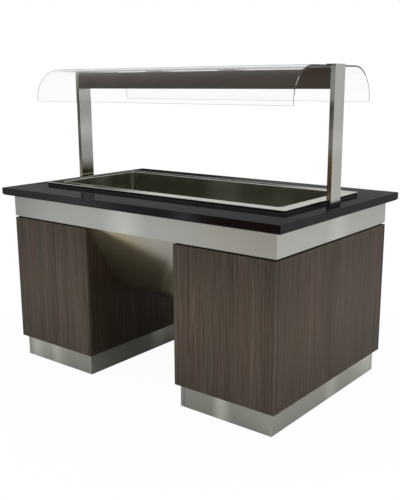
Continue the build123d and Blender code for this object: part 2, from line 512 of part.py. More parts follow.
core_x = POST_X0 - 3
core = block(-core_x, core_x, -35, 35, BEAM_Z0 + 2, BEAM_Z1)
core -= block(-core_x - 1, core_x + 1, -33, 33, BEAM_Z0 + 4, BEAM_Z1 - 2)
core -= block(-core_x - 1, core_x + 1, -21, 21, BEAM_Z0, BEAM_Z0 + 6)
bracket = block(core_x, POST_X0, -34, 34, BEAM_Z0 + 3, BEAM_Z1 - 1)
save("beam_core", core, bracket, flip(bracket))
save("beam_fascias", block(-POST_X0, POST_X0, -POST_Y, -35, BEAM_Z0, BEAM_Z1),
     block(-POST_X0, POST_X0, 35, POST_Y, BEAM_Z0, BEAM_Z1))

LAMP_X = 620.0
housing = block(-LAMP_X, LAMP_X, -20.5, 20.5, BEAM_Z0 + 2, BEAM_Z0 + 22)
housing -= block(-LAMP_X + 1.5, LAMP_X - 1.5, -19, 19, BEAM_Z0, BEAM_Z0 + 20.5)
save("lamp_housing", housing)
save("lamp_diffuser", block(-LAMP_X + 1.5, LAMP_X - 1.5, -19, 19, BEAM_Z0 + 1, BEAM_Z0 + 4))

pads = [block(x - 45, x + 45, y - 6, y + 6, BEAM_Z1, GLASS_TOP - GLASS_T)
        for x in (-640, -215, 215, 640) for y in (-28, 28)]
save("glass_seals", seal, flip(seal), *pads)

og = [(-GLASS_Y, GLASS_LOW), (-GLASS_Y, GLASS_TOP), (GLASS_Y, GLASS_TOP), (GLASS_Y, GLASS_LOW)]
gi, gt = GLASS_Y - GLASS_T, GLASS_TOP - GLASS_T
ig = [(-gi, GLASS_LOW - 1), (-gi, gt), (gi, gt), (gi, GLASS_LOW - 1)]
glass = section_x(og, -GLASS_X, GLASS_X, [(og[1], GLASS_R), (og[2], GLASS_R)])
glass -= section_x(ig, -GLASS_X - 1, GLASS_X + 1, [(ig[1], GLASS_R - GLASS_T), (ig[2], GLASS_R - GLASS_T)])
save("glass_canopy", glass)
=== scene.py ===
import bpy, bmesh, math
from mathutils import Matrix, Vector


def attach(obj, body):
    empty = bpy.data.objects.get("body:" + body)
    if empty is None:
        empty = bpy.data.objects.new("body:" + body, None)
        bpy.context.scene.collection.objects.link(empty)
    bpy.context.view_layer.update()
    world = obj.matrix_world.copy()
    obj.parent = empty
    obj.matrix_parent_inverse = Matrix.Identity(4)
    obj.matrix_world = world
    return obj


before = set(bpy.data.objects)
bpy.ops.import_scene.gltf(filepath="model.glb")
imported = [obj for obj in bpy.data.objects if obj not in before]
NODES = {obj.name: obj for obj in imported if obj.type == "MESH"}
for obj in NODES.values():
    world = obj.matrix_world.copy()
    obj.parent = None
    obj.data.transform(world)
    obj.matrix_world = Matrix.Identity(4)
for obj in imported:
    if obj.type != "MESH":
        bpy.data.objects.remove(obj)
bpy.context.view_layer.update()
scene = bpy.context.scene
scene.view_settings.view_transform = "Standard"
scene.view_settings.look = "None"
scene.view_settings.exposure = 0.0
scene.view_settings.gamma = 1.0


# ------------------------------------------------------------------ node helpers
class Tree:
    def __init__(self, name):
        self.m = bpy.data.materials.new(name)
        self.m.use_nodes = True
        self.t = self.m.node_tree
        self.t.nodes.clear()
        self.out = self.add("ShaderNodeOutputMaterial")
        self.b = self.add("ShaderNodeBsdfPrincipled")
        self.t.links.new(self.b.outputs[0], self.out.inputs[0])
        self.coord = None

    def add(self, kind, **props):
        n = self.t.nodes.new(kind)
        for k, v in props.items():
            setattr(n, k, v)
        return n

    def link(self, a, b):
        self.t.links.new(a, b)

    def put(self, sock, value):
        if isinstance(value, bpy.types.NodeSocket):
            self.t.links.new(value, sock)
        else:
            sock.default_value = value

    def obj(self):
        if self.coord is None:
            self.coord = self.add("ShaderNodeTexCoord").outputs["Object"]
        return self.coord

    def scaled(self, sx, sy, sz, loc=(0, 0, 0), src=None):
        n = self.add("ShaderNodeMapping")
        n.inputs["Scale"].default_value = (sx, sy, sz)
        n.inputs["Location"].default_value = loc
        self.link(src or self.obj(), n.inputs["Vector"])
        return n.outputs[0]

    def noise(self, vec, detail=3.0, rough=0.5, dist=0.0):
        n = self.add("ShaderNodeTexNoise")
        self.link(vec, n.inputs["Vector"])
        n.inputs["Scale"].default_value = 1.0
        n.inputs["Detail"].default_value = detail
        n.inputs["Roughness"].default_value = rough
        n.inputs["Distortion"].default_value = dist
        return n.outputs["Fac"]

    def ramp(self, fac, stops):
        n = self.add("ShaderNodeValToRGB")
        e = n.color_ramp.elements
        while len(e) < len(stops):
            e.new(0.5)
        for i, (p, c) in enumerate(stops):
            e[i].position = p
            e[i].color = (*c, 1.0)
        self.link(fac, n.inputs[0])
        return n.outputs[0]

    def span(self, fac, a, b, c, d, smooth=False):
        n = self.add("ShaderNodeMapRange", clamp=True)
        if smooth:
            n.interpolation_type = "SMOOTHSTEP"
        self.link(fac, n.inputs[0])
        for i, v in zip((1, 2, 3, 4), (a, b, c, d)):
            self.put(n.inputs[i], v)
        return n.outputs[0]

    def math(self, op, a, b=0.0):
        n = self.add("ShaderNodeMath", operation=op)
        self.put(n.inputs[0], a)
        self.put(n.inputs[1], b)
        return n.outputs[0]

    def bell(self, v, centre, half):
        up = self.span(v, centre - half, centre, 0.0, 1.0, True)
        down = self.span(v, centre, centre + half, 1.0, 0.0, True)
        return self.math("MULTIPLY", up, down)

    def mix(self, fac, a, b, blend="MIX"):
        n = self.add("ShaderNodeMix", data_type="RGBA", blend_type=blend)
        self.put(n.inputs[0], fac)
        self.put(n.inputs[6], (*a, 1.0) if isinstance(a, tuple) else a)
        self.put(n.inputs[7], (*b, 1.0) if isinstance(b, tuple) else b)
        return n.outputs[2]

    def grey(self, v):
        n = self.add("ShaderNodeCombineColor")
        for i in range(3):
            self.link(v, n.inputs[i])
        return n.outputs[0]

    def bump(self, height, strength=0.2, distance=0.001):
        n = self.add("ShaderNodeBump")
        n.inputs["Strength"].default_value = strength
        n.inputs["Distance"].default_value = distance
        self.link(height, n.inputs["Height"])
        self.link(n.outputs[0], self.b.inputs["Normal"])

    def xyz(self):
        n = self.add("ShaderNodeSeparateXYZ")
        self.link(self.obj(), n.inputs[0])
        return n.outputs

    def facing(self):
        """1 on faces that look along X, 0 on faces that look along Y."""
        g = self.add("ShaderNodeNewGeometry")
        n = self.add("ShaderNodeSeparateXYZ")
        self.link(g.outputs["Normal"], n.inputs[0])
        return self.span(self.math("ABSOLUTE", n.outputs[0]), 0.6, 0.8, 0.0, 1.0)

    def upright(self):
        """1 on walls, 0.2 on level faces."""
        g = self.add("ShaderNodeNewGeometry")
        n = self.add("ShaderNodeSeparateXYZ")
        self.link(g.outputs["Normal"], n.inputs[0])
        return self.span(self.math("ABSOLUTE", n.outputs[2]), 0.2, 0.9, 1.0, 0.2)

    def inward(self):
        """1 on faces that look along X towards the middle of the object."""
        g = self.add("ShaderNodeNewGeometry")
        n = self.add("ShaderNodeSeparateXYZ")
        self.link(g.outputs["Normal"], n.inputs[0])
        side = self.math("SIGN", self.xyz()[0])
        return self.span(self.math("MULTIPLY", n.outputs[0], side), -0.8, -0.6, 1.0, 0.0)

    def set(self, **kw):
        names = {"base": "Base Color", "rough": "Roughness", "metal": "Metallic", "ior": "IOR",
                 "spec": "Specular IOR Level", "aniso": "Anisotropic", "turn": "Anisotropic Rotation",
                 "coat": "Coat Weight", "coat_rough": "Coat Roughness", "trans": "Transmission Weight",
                 "emit": "Emission Color", "emit_s": "Emission Strength", "sub": "Subsurface Weight"}
        for k, v in kw.items():
            if isinstance(v, tuple):
                v = (*v, 1.0)
            self.put(self.b.inputs[names[k]], v)
        return self


# ------------------------------------------------------------------ finishes
def wood(name, along="Z", tone=(0.052, 0.0395, 0.0315), seed=0.0, rough=0.46, contrast=1.0, painted_light_rise=0.0, painted_shade_foot=0.0):
    """Dark laminate with a straight grain: fine streaks of plum, umber and olive grey.
    painted_light_rise is painted light that lifts the tone half-way up a panel; painted_shade_foot is painted shade
    that lowers it towards the floor."""
    t = Tree(name)
    k = {"X": 0, "Y": 1, "Z": 2}[along]

    def s(across, along_):
        v = [across] * 3
        v[k] = along_
        return v
    sway = t.noise(t.scaled(*s(9, 1.6), loc=(seed, 2, seed)), 2.0, 0.5)
    shift = t.add("ShaderNodeVectorMath", operation="ADD")
    t.link(t.obj(), shift.inputs[0])
    amount = t.math("MULTIPLY", t.math("SUBTRACT", sway, 0.5), 0.018)
    bend = t.add("ShaderNodeCombineXYZ")
    for i in range(3):
        if i != k:
            t.link(amount, bend.inputs[i])
    t.link(bend.outputs[0], shift.inputs[1])
    src = shift.outputs[0]
    broad = t.noise(t.scaled(*s(17, 0.3), loc=(seed, seed * 1.7, seed * 0.6), src=src), 2.0, 0.55)
    band = t.noise(t.scaled(*s(62, 0.7), loc=(seed + 3, seed, 1), src=src), 3.0, 0.6)
    streak = t.noise(t.scaled(*s(190, 1.6), loc=(seed, 7, seed), src=src), 4.0, 0.65)
    fine = t.noise(t.scaled(*s(620, 5.0), loc=(1, seed, seed), src=src), 3.0, 0.6)
    pores = t.noise(t.scaled(*s(1300, 30), loc=(seed, 5, 2), src=src), 2.0, 0.5)
    plum = tuple(c * m for c, m in zip(tone, (1.10, 0.98, 1.00)))
    olive = tuple(c * m for c, m in zip(tone, (0.92, 1.03, 0.90)))
    umber = tuple(c * m for c, m in zip(tone, (0.55, 0.53, 0.50)))
    pale = tuple(c * m for c, m in zip(tone, (1.55, 1.60, 1.62)))
    col = t.mix(t.span(band, 0.42, 0.58, 0.0, 1.0), olive, plum)
    col = t.mix(t.span(streak, 0.36, 0.50, 0.80 * contrast, 0.0), col, umber)
    col = t.mix(t.span(streak, 0.52, 0.66, 0.0, 0.75 * contrast), col, pale)
    col = t.mix(1.0, col, t.grey(t.span(fine, 0.30, 0.70, 1.0 - 0.24 * contrast, 1.0 + 0.24 * contrast)), "MULTIPLY")
    col = t.mix(1.0, col, t.grey(t.span(broad, 0.34, 0.66, 0.90, 1.10)), "MULTIPLY")
    col = t.mix(1.0, col, t.grey(t.span(pores, 0.60, 0.72, 1.0, 1.0 - 0.5 * contrast)), "MULTIPLY")
    # painted light half-way up the panel, and painted shade towards the floor
    if painted_light_rise:
        z = t.xyz()[2]
        v = t.math("ADD", 1.0, t.math("MULTIPLY", t.bell(z, 0.39, 0.33), painted_light_rise))
        if painted_shade_foot:
            v = t.math("MULTIPLY", v, t.span(z, 0.40, 0.62, 1.0 - painted_shade_foot, 1.0, True))
        col = t.mix(1.0, col, t.grey(v), "MULTIPLY")
    t.set(base=col, rough=t.span(fine, 0.3, 0.7, rough - 0.05, rough + 0.06), spec=0.13)
    t.bump(t.math("ADD", fine, t.math("MULTIPLY", pores, -0.6)), 0.16 * contrast, 0.0003)
    return t.m


def steel(name, along="H", base=(0.52, 0.52, 0.50), rough=0.28, aniso=0.5, streak=0.02, bump=0.015, seed=0.0,
          cloud=0.02, painted_light_marks=(), painted_reflection_tint=None, metal=1.0, lean=None, wall=False):
    """Brushed stainless sheet. along names the grain: H is level on every upright face.
    painted_light_marks are painted highlights and painted shade: broad soft bright and dark bands painted into the
    colour where reflections and shade fall (which, centre, half width, gain). Capitals are bells: F along X on faces
    that look along Y, E along Y on faces that look along X, Z by height, N by height on narrow faces, I by height on
    faces turned to the middle. Small letters are slopes from the first value to the second. painted_reflection_tint
    paints a reflection's colour into the sheet; its d is a slope along a diagonal. lean tips the sheet a little off its
    nominal plane. wall keeps the painted_light_marks off level faces."""
    t = Tree(name)
    if along == "H":
        sc, fi = [2.2, 2.2, 1100], [9, 9, 2600]
    else:
        k = {"X": 0, "Y": 1, "Z": 2}[along]
        sc, fi = [1100.0] * 3, [2600.0] * 3
        sc[k], fi[k] = 2.2, 9
    a = t.noise(t.scaled(*sc, loc=(seed, 0, seed)), 3.0, 0.6)
    b = t.noise(t.scaled(*fi, loc=(0, seed, 2)), 2.0, 0.6)
    g = t.math("ADD", t.math("MULTIPLY", a, 0.6), t.math("MULTIPLY", b, 0.4))
    soft = t.noise(t.scaled(2.1, 2.1, 2.1, loc=(seed, 4, 7)), 2.0, 0.5)
    v = t.math("ADD", t.span(g, 0.25, 0.75, 1.0 - streak, 1.0 + streak), t.span(soft, 0.3, 0.7, -cloud, cloud))
    x, y, z = t.xyz() if (painted_light_marks or painted_reflection_tint) else (None, None, None)
    side = t.facing() if (painted_light_marks or painted_reflection_tint) else None
    upright = t.upright() if wall else None
    # painted highlights and painted shade, added into the sheet's colour
    if painted_light_marks:
        for which, centre, half, gain in painted_light_marks:
            if which in "ZNI":
                m = t.bell(z, centre, half)
                if which == "N":
                    m = t.math("MULTIPLY", m, t.math("SUBTRACT", 1.0, side))
                elif which == "I":
                    m = t.math("MULTIPLY", m, t.inward())
            elif which in "zni":      # a slope by height: z everywhere, n on narrow faces, i on faces turned to the middle
                m = t.span(z, centre, half, 0.0, 1.0, True)
                if which == "n":
                    m = t.math("MULTIPLY", m, t.math("SUBTRACT", 1.0, side))
                elif which == "i":
                    m = t.math("MULTIPLY", m, t.inward())
            elif which in "fe":       # a slope: from centre to half
                m = t.span(x if which == "f" else y, centre, half, 0.0, 1.0, True)
            else:
                m = t.bell(x if which == "F" else y, centre, half)
            if which in "Ff":
                m = t.math("MULTIPLY", m, t.math("SUBTRACT", 1.0, side))
            elif which in "Ee":
                m = t.math("MULTIPLY", m, side)
            if wall:
                m = t.math("MULTIPLY", m, upright)
            v = t.math("ADD", v, t.math("MULTIPLY", m, gain))
    n = t.add("ShaderNodeCombineColor")
    for i in range(3):
        t.link(t.math("MULTIPLY", v, base[i]), n.inputs[i])
    col = n.outputs[0]
    # painted reflection colour, laid over the sheet's colour
    for which, a0, a1, colour in painted_reflection_tint or ():
        if which == "d":
            src = t.math("ADD", x, t.math("MULTIPLY", z, 1.1))
        else:
            src = z if which in "zni" else (x if which == "f" else y)
        m = t.span(src, a0, a1, 0.0, 1.0, True)
        if which == "i":
            m = t.math("MULTIPLY", m, t.inward())
        elif which in "nf":
            m = t.math("MULTIPLY", m, t.math("SUBTRACT", 1.0, side))
        elif which == "e":
            m = t.math("MULTIPLY", m, side)
        if wall:
            m = t.math("MULTIPLY", m, upright)
        col = t.mix(m, col, t.mix(1.0, col, colour, "MULTIPLY"))
    if wall:                          # level faces are plain neutral steel
        col = t.mix(t.math("SUBTRACT", 1.0, upright), col, t.mix(1.0, col, (1.0, 0.99, 1.16), "MULTIPLY"))
    t.set(base=col, metal=metal, rough=t.span(g, 0.25, 0.75, rough - 0.03, rough + 0.04), aniso=aniso,
          turn=0.25 if along == "H" else 0.0)
    if aniso:
        tan = t.add("ShaderNodeTangent", direction_type="RADIAL", axis="Z")
        t.link(tan.outputs[0], t.b.inputs["Tangent"])
    if bump:
        t.bump(g, bump, 0.0002)
    if lean:
        geo = t.add("ShaderNodeNewGeometry")
        tip = t.add("ShaderNodeVectorMath", operation="ADD")
        t.link(geo.outputs["Normal"], tip.inputs[0])
        tip.inputs[1].default_value = lean
        unit = t.add("ShaderNodeVectorMath", operation="NORMALIZE")
        t.link(tip.outputs[0], unit.inputs[0])
        t.link(unit.outputs[0], t.b.inputs["Normal"])
    return t.m


def plastic(name, base, rough=0.4, grain=900, bump=0.12, spec=0.5, var=0.06, **kw):
    t = Tree(name)
    n = t.noise(t.scaled(grain, grain, grain), 3.0, 0.6)
    w = t.noise(t.scaled(14, 14, 14), 3.0, 0.55)
    lo = tuple(c * (1 - var) for c in base)
    hi = tuple(min(1.0, c * (1 + var)) for c in base)
    t.set(base=t.ramp(w, [(0.3, lo), (0.7, hi)]), rough=t.span(w, 0.3, 0.7, rough - 0.04, rough + 0.05), spec=spec, **kw)
    t.bump(n, bump, 0.0002)
    return t.m


def metal_plain(name, base, rough=0.35, grain=500, bump=0.06, var=0.07):
    t = Tree(name)
    n = t.noise(t.scaled(grain, grain, grain), 3.0, 0.6)
    w = t.noise(t.scaled(24, 24, 24), 4.0, 0.6)
    lo = tuple(c * (1 - var) for c in base)
    hi = tuple(min(1.0, c * (1 + var)) for c in base)
    t.set(base=t.ramp(w, [(0.3, lo), (0.7, hi)]), metal=1.0, rough=t.span(w, 0.3, 0.7, rough - 0.05, rough + 0.06))
    t.bump(n, bump, 0.0002)
    return t.m


def granite(name):
    """Polished black stone with a fine fleck. Its narrow side faces are painted about three times lighter than the
    mirror-polished top, a painted reflection, and the long sides carry painted reflection bands and tints.
    """
    t = Tree(name)
    fleck = t.noise(t.scaled(700, 700, 700), 4.0, 0.7)
    cloud = t.noise(t.scaled(55, 55, 55), 5.0, 0.65)
    crystal = t.add("ShaderNodeTexVoronoi", feature="F1")
    t.link(t.scaled(420, 420, 420), crystal.inputs["Vector"])
    crystal.inputs["Scale"].default_value = 1.0
    spark = t.span(crystal.outputs["Distance"], 0.10, 0.24, 1.0, 0.0)
    base = t.ramp(fleck, [(0.35, (0.0075, 0.0073, 0.0070)), (0.55, (0.0115, 0.0112, 0.0106)), (0.72, (0.0205, 0.0200, 0.0190))])
    base = t.mix(t.math("MULTIPLY", spark, 0.20), base, (0.024, 0.0235, 0.0235))
    base = t.mix(t.span(cloud, 0.4, 0.7, 0.0, 0.35), base, (0.0068, 0.0066, 0.0063))
    geo = t.add("ShaderNodeNewGeometry")
    n = t.add("ShaderNodeSeparateXYZ")
    t.link(geo.outputs["Normal"], n.inputs[0])
    x, y, z = t.xyz()
    end = t.span(t.math("ABSOLUTE", n.outputs[0]), 0.6, 0.8, 0.0, 1.0)
    long = t.span(t.math("ABSOLUTE", n.outputs[1]), 0.6, 0.8, 0.0, 1.0)
    # painted reflection: the end faces painted lighter than the top
    base = t.mix(end, base, t.mix(1.0, base, (3.45, 3.45, 3.5), "MULTIPLY"))
    # painted reflection bands along the long sides, with violet and red painted reflection tints towards the ends
    v = t.math("ADD", 2.95, t.math("MULTIPLY", t.bell(x, -0.27, 0.30), 0.95))
    v = t.math("ADD", v, t.math("MULTIPLY", t.span(x, -0.25, 0.20, 0.0, 1.0, True), -1.50))
    v = t.math("ADD", v, t.math("MULTIPLY", t.bell(x, 0.350, 0.095), 1.6))
    v = t.math("ADD", v, t.math("MULTIPLY", t.span(x, 0.40, 0.55, 0.0, 1.0, True), -0.72))
    edge = t.mix(1.0, base, t.grey(v), "MULTIPLY")
    edge = t.mix(t.span(x, -0.45, -0.15, 0.0, 1.0, True), edge, t.mix(1.0, edge, (1.02, 0.96, 1.14), "MULTIPLY"))
    edge = t.mix(t.span(x, 0.35, 0.52, 0.0, 1.0, True), edge, t.mix(1.0, edge, (1.15, 0.72, 0.56), "MULTIPLY"))
    base = t.mix(long, base, edge)
    t.set(base=base, rough=t.span(fleck, 0.3, 0.7, 0.025, 0.045), ior=1.030, spec=0.5)
    t.bump(cloud, 0.012, 0.0002)
    return t.m


def glass(name):
    """Clear toughened glass, with a trace of green in its body."""
    t = Tree(name)
    n = t.noise(t.scaled(3, 3, 3), 2.0, 0.5)
    t.set(base=t.ramp(n, [(0.3, (0.972, 0.974, 0.978)), (0.7, (0.978, 0.980, 0.983))]), rough=0.0, trans=1.0, ior=1.18)
    return t.m


M = {}
WOOD = (0.0670, 0.0510, 0.0392)
# lit and shaded copies of one laminate: each copy's tone is set for how light falls on the panels it covers; the copy
# for the inner panels is painted shade, much darker and darker still towards the floor
M["wood"] = wood("dark_wood_laminate", "Z", seed=0.0, tone=tuple(c * 1.04 for c in WOOD), painted_light_rise=0.27)
M["wood2"] = wood("dark_wood_laminate_b", "Z", seed=4.3, tone=tuple(c * 0.96 for c in WOOD), painted_light_rise=0.25)
M["wood3"] = wood("dark_wood_laminate_c", "Z", seed=9.1, tone=(WOOD[0] * 0.93, WOOD[1] * 0.88, WOOD[2] * 0.83), painted_light_rise=0.22)
M["wood_painted_shade"] = wood("dark_wood_laminate_painted_shade", "Z", seed=12.4, tone=(WOOD[0] * 0.74, WOOD[1] * 0.70, WOOD[2] * 0.62), painted_light_rise=0.10, painted_shade_foot=0.26)
M["beam"] = wood("beam_laminate", "X", seed=2.0, tone=(0.0475, 0.0355, 0.0275), contrast=0.35)
M["board"] = wood("carcass_melamine", "X", seed=6.0, rough=0.5, tone=tuple(c * 0.8 for c in WOOD))
# painted highlights: a bright band at the middle of the front and of each end, the ends lighter overall; painted shade
# towards both ends of the front; a warm painted reflection to the right
M["apron"] = steel("apron_steel", "H", base=(0.452, 0.456, 0.430), rough=0.30,
                   painted_light_marks=(("F", -0.020, 0.160, 0.34), ("F", -0.11, 0.42, 0.03), ("f", 0.15, 0.80, -0.10),
                          ("f", -0.45, -0.80, -0.24), ("E", 0.010, 0.115, 0.22), ("e", -2.0, -1.0, 0.085)),
                   painted_reflection_tint=(("f", 0.12, 0.70, (1.05, 0.985, 0.925)), ("e", -2.0, -1.0, (1.01, 0.99, 0.97))))
# painted highlights: bright bands on the fronts and ends, the ends lighter towards the rear; painted shade on the faces
# turned to the knee gap
M["plinth"] = steel("plinth_steel", "H", base=(0.400, 0.399, 0.359), rough=0.30, seed=3.0,
                    painted_light_marks=(("F", -0.526, 0.050, 0.32), ("F", -0.675, 0.060, 0.30), ("f", -0.47, -0.43, -0.16), ("F", 0.492, 0.060, 0.62),
                           ("f", 0.50, 0.72, 0.08), ("E", 0.036, 0.085, 0.40), ("e", 0.16, 0.46, 0.42), ("i", 3.0, 2.0, -0.30)))
# faces of the posts turned to the middle: painted shade, darker overall, towards the top and much darker towards the
# base, with painted highlight bands at mid height and at the foot
INWARD_PAINTED_LIGHT = (("i", 3.0, 2.0, -0.22), ("I", 1.121, 0.10, 0.16), ("i", 1.24, 1.33, -0.16), ("i", 0.975, 0.895, -0.44),
         ("I", 0.8950, 0.016, -0.16), ("I", 0.8840, 0.0050, 0.20))
# a warm painted reflection low on the faces turned to the middle
FOOT_PAINTED_REFLECTION = ("i", 0.955, 0.900, (1.06, 0.95, 0.66))
# painted highlight band at mid height; narrow faces painted darker, with a painted highlight band and a brown painted
# reflection low down
M["post"] = steel("post_steel", "Z", base=(0.592, 0.592, 0.557), rough=0.20, aniso=0.4,
                  painted_light_marks=(("Z", 1.119, 0.080, 0.17), ("n", 3.0, 2.0, -0.64), ("N", 1.135, 0.135, 0.50)) + INWARD_PAINTED_LIGHT,
                  painted_reflection_tint=(("n", 1.10, 1.03, (1.12, 0.82, 0.56)), FOOT_PAINTED_REFLECTION))
# the left post's own lit and shaded copy: painted highlight at mid height; narrow faces painted darker, lighter towards
# top and base, with a warm painted reflection
M["post_l"] = steel("post_steel_left_painted_light", "Z", base=(0.592, 0.592, 0.557), rough=0.20, aniso=0.4, seed=3.0,
                    painted_light_marks=(("Z", 1.119, 0.080, 0.10), ("n", 3.0, 2.0, -0.80), ("n", 1.285, 1.42, 0.45),
                           ("n", 1.00, 0.88, 0.33)) + INWARD_PAINTED_LIGHT,
                    painted_reflection_tint=(("n", 3.0, 2.0, (1.08, 0.98, 0.86)), FOOT_PAINTED_REFLECTION))
# painted highlight: a bright band at the middle of the front; painted shade towards the left
M["rim"] = steel("rim_steel", "X", base=(0.70, 0.70, 0.608), rough=0.035, aniso=0.0, bump=0.0, lean=(-0.003, 0.0068, 0.0),
                 painted_light_marks=(("F", 0.0, 0.25, 0.28), ("f", -0.15, -0.60, -0.20)))
# painted highlight: a bright band at the middle of the back wall and one on the end walls; painted shade towards the
# right and left; the olive cast of the walls and the teal and warm casts are painted reflection colour
M["tank"] = steel("tank_steel", "H", base=(0.465, 0.465, 0.386), rough=0.18, aniso=0.4, seed=5.0, wall=True,
                  painted_light_marks=(("F", -0.030, 0.170, 1.2), ("F", 0.05, 0.20, 0.30), ("f", 0.15, 0.28, -0.22), ("F", -0.43, 0.08, -0.30),
                         ("E", 0.02, 0.095, 1.0)),
                  painted_reflection_tint=(("f", -0.16, -0.06, (0.980, 1.010, 1.02)), ("f", -0.05, 0.03, (0.99, 1.005, 1.05)),
                        ("f", 0.10, 0.24, (1.06, 0.96, 0.90))))
# painted shade: darker towards the bottom of the belly; an olive painted reflection of the inner panels below a
# diagonal
M["trough"] = steel("trough_steel", "X", base=(0.470, 0.452, 0.405), rough=0.14, aniso=0.0, seed=8.0, bump=0.0,
                    painted_light_marks=(("z", 0.70, 0.47, -0.46),), metal=0.88, lean=(0.0, 0.0, -0.050),
                    painted_reflection_tint=(("d", 0.90, 0.70, (0.99, 0.91, 0.67)),))
M["fitting"] = metal_plain("satin_steel", (0.50, 0.50, 0.48), 0.30)
M["zinc"] = metal_plain("galvanised_sheet", (0.50, 0.51, 0.52), 0.42, grain=200)
M["element"] = metal_plain("heat_tinted_sheath", (0.22, 0.19, 0.15), 0.40)
M["copper"] = metal_plain("drawn_copper", (0.60, 0.33, 0.22), 0.33)
M["brass"] = metal_plain("machined_brass", (0.62, 0.46, 0.22), 0.30)
M["chrome"] = metal_plain("polished_steel", (0.68, 0.68, 0.67), 0.12, bump=0.01)
M["alu"] = metal_plain("milled_aluminium", (0.60, 0.60, 0.60), 0.38)
M["framepaint"] = plastic("black_powder_coat", (0.022, 0.022, 0.022), 0.5, grain=1500, bump=0.25)
M["surround"] = plastic("surround_black", (0.014, 0.0100, 0.0070), 0.16, grain=600, bump=0.02, spec=0.4)
M["backing"] = plastic("backing_board", (0.006, 0.006, 0.006), 0.55, spec=0.2)
M["blackmat"] = plastic("matt_black_trim", (0.010, 0.0092, 0.0085), 0.65, spec=0.2)
M["rubber"] = plastic("black_rubber", (0.010, 0.010, 0.0105), 0.55, bump=0.2, spec=0.3)
M["black"] = plastic("black_moulding", (0.018, 0.018, 0.019), 0.33, bump=0.06)
M["grey"] = plastic("grey_moulding", (0.32, 0.33, 0.34), 0.45)
M["grip"] = plastic("dipped_grip", (0.42, 0.03, 0.02), 0.42)
M["red"] = plastic("red_rocker", (0.50, 0.02, 0.02), 0.25, bump=0.02)
M["green"] = plastic("green_rocker", (0.02, 0.28, 0.07), 0.25, bump=0.02)
M["amber"] = plastic("amber_lens", (0.75, 0.33, 0.03), 0.18, bump=0.02)
M["white"] = plastic("white_enamel", (0.70, 0.70, 0.69), 0.35)
M["opal"] = plastic("opal_diffuser", (0.80, 0.80, 0.78), 0.35, sub=0.2)
M["wool"] = plastic("mineral_wool", (0.55, 0.46, 0.22), 0.95, grain=400, bump=1.0, spec=0.1, var=0.25)
M["seal"] = plastic("translucent_soft_seal", (0.24, 0.22, 0.20), 0.45, bump=0.05, spec=0.2)
M["granite"] = granite("polished_black_stone")
M["glass"] = glass("clear_glass")
# lit and shaded copies of one ground-edge finish: the left end strip is painted lighter, the right and lower strips
# darker
M["glass_edge"] = plastic("ground_glass_edge", (0.085, 0.092, 0.090), 0.45, spec=0.2, bump=0.05)
M["glass_edge_painted_lit"] = plastic("ground_glass_edge_painted_lit", (0.42, 0.43, 0.43), 0.5, spec=0.2, bump=0.05)
M["seam"] = plastic("dark_joint_and_painted_shade", (0.010, 0.009, 0.008), 0.6, spec=0.2)
M["silicone"] = plastic("black_silicone", (0.012, 0.012, 0.012), 0.35, bump=0.03, spec=0.4)
M["corner"] = plastic("dark_edge_trim", (0.030, 0.031, 0.030), 0.42, spec=0.3)
M["mark"] = plastic("white_print", (0.75, 0.75, 0.74), 0.5, bump=0.02)
M["weld"] = metal_plain("dressed_weld", (0.46, 0.45, 0.42), 0.30)
M["bead"] = metal_plain("rim_edge_painted_highlight", (0.86, 0.85, 0.80), 0.16, bump=0.01)

USE = {
    "worktop_slab": "granite", "slab_backing_board": "backing", "well_surround": "surround", "tank_rim_flange": "rim",
    "tank_basin": "tank", "tank_insulation": "wool", "heater_cover_tray": "zinc", "heating_elements": "element",
    "element_clamps": "zinc", "drain_waste": "chrome", "drain_pipes": "copper", "drain_valve_body": "brass",
    "drain_valve_ball": "chrome", "drain_valve_lever": "grip", "bridge_frame": "framepaint", "pedestal_legs": "framepaint",
    "levelling_feet": "black", "under_trough": "trough", "apron_front": "apron", "apron_back": "apron",
    "apron_left": "apron", "apron_right": "apron", "right_front_panel": "wood", "left_front_panel": "wood2",
    "right_end_panel": "wood3", "left_end_panel": "wood", "right_inner_panel": "wood_painted_shade", "left_inner_panel": "wood_painted_shade",
    "bottom_boards": "board", "shadow_gap_strips": "blackmat", "plinth_front_sheets": "plinth", "plinth_rear_sheets": "plinth",
    "inlet_gland": "black", "terminal_box": "grey", "right_door_panel": "wood3", "left_door_panel": "wood2",
    "right_door_fittings": "fitting", "left_door_fittings": "fitting", "door_hinges_and_catches": "fitting",
    "control_panel": "black", "rocker_housings": "black", "heater_rocker": "red", "lamp_rocker": "green",
    "pilot_lamps": "amber", "control_box": "zinc", "thermostat": "grey", "thermostat_knob": "black",
    "gantry_post_right": "post", "gantry_post_left": "post_l", "post_foot_pads": "rubber", "post_inner_blocks": "alu",
    "post_anchor_bolts": "zinc", "gantry_screws": "fitting", "post_cap_plates": "post", "beam_core": "alu",
    "beam_fascias": "beam", "lamp_housing": "white", "lamp_diffuser": "opal", "glass_seals": "seal",
    "glass_canopy": "glass",
}
for n, o in NODES.items():
    mat = M[USE[n]]
    if not o.data.materials:
        o.data.materials.append(mat)
    for i in range(len(o.data.materials)):
        o.data.materials[i] = mat
NODES["glass_canopy"].visible_shadow = False

# ------------------------------------------------------------------ small modelled parts, in millimetres
def made(name, bm, mat, body="cabinet", sharp=35):
    bmesh.ops.recalc_face_normals(bm, faces=bm.faces)
    me = bpy.data.meshes.new(name)
    bm.to_mesh(me)
    bm.free()
    me.transform(Matrix.Scale(0.001, 4))
    me.polygons.foreach_set("use_smooth", [True] * len(me.polygons))
    me.set_sharp_from_angle(angle=math.radians(sharp))
    o = bpy.data.objects.new(name, me)
    scene.collection.objects.link(o)
    me.materials.append(M[mat])
    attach(o, body)
    return o


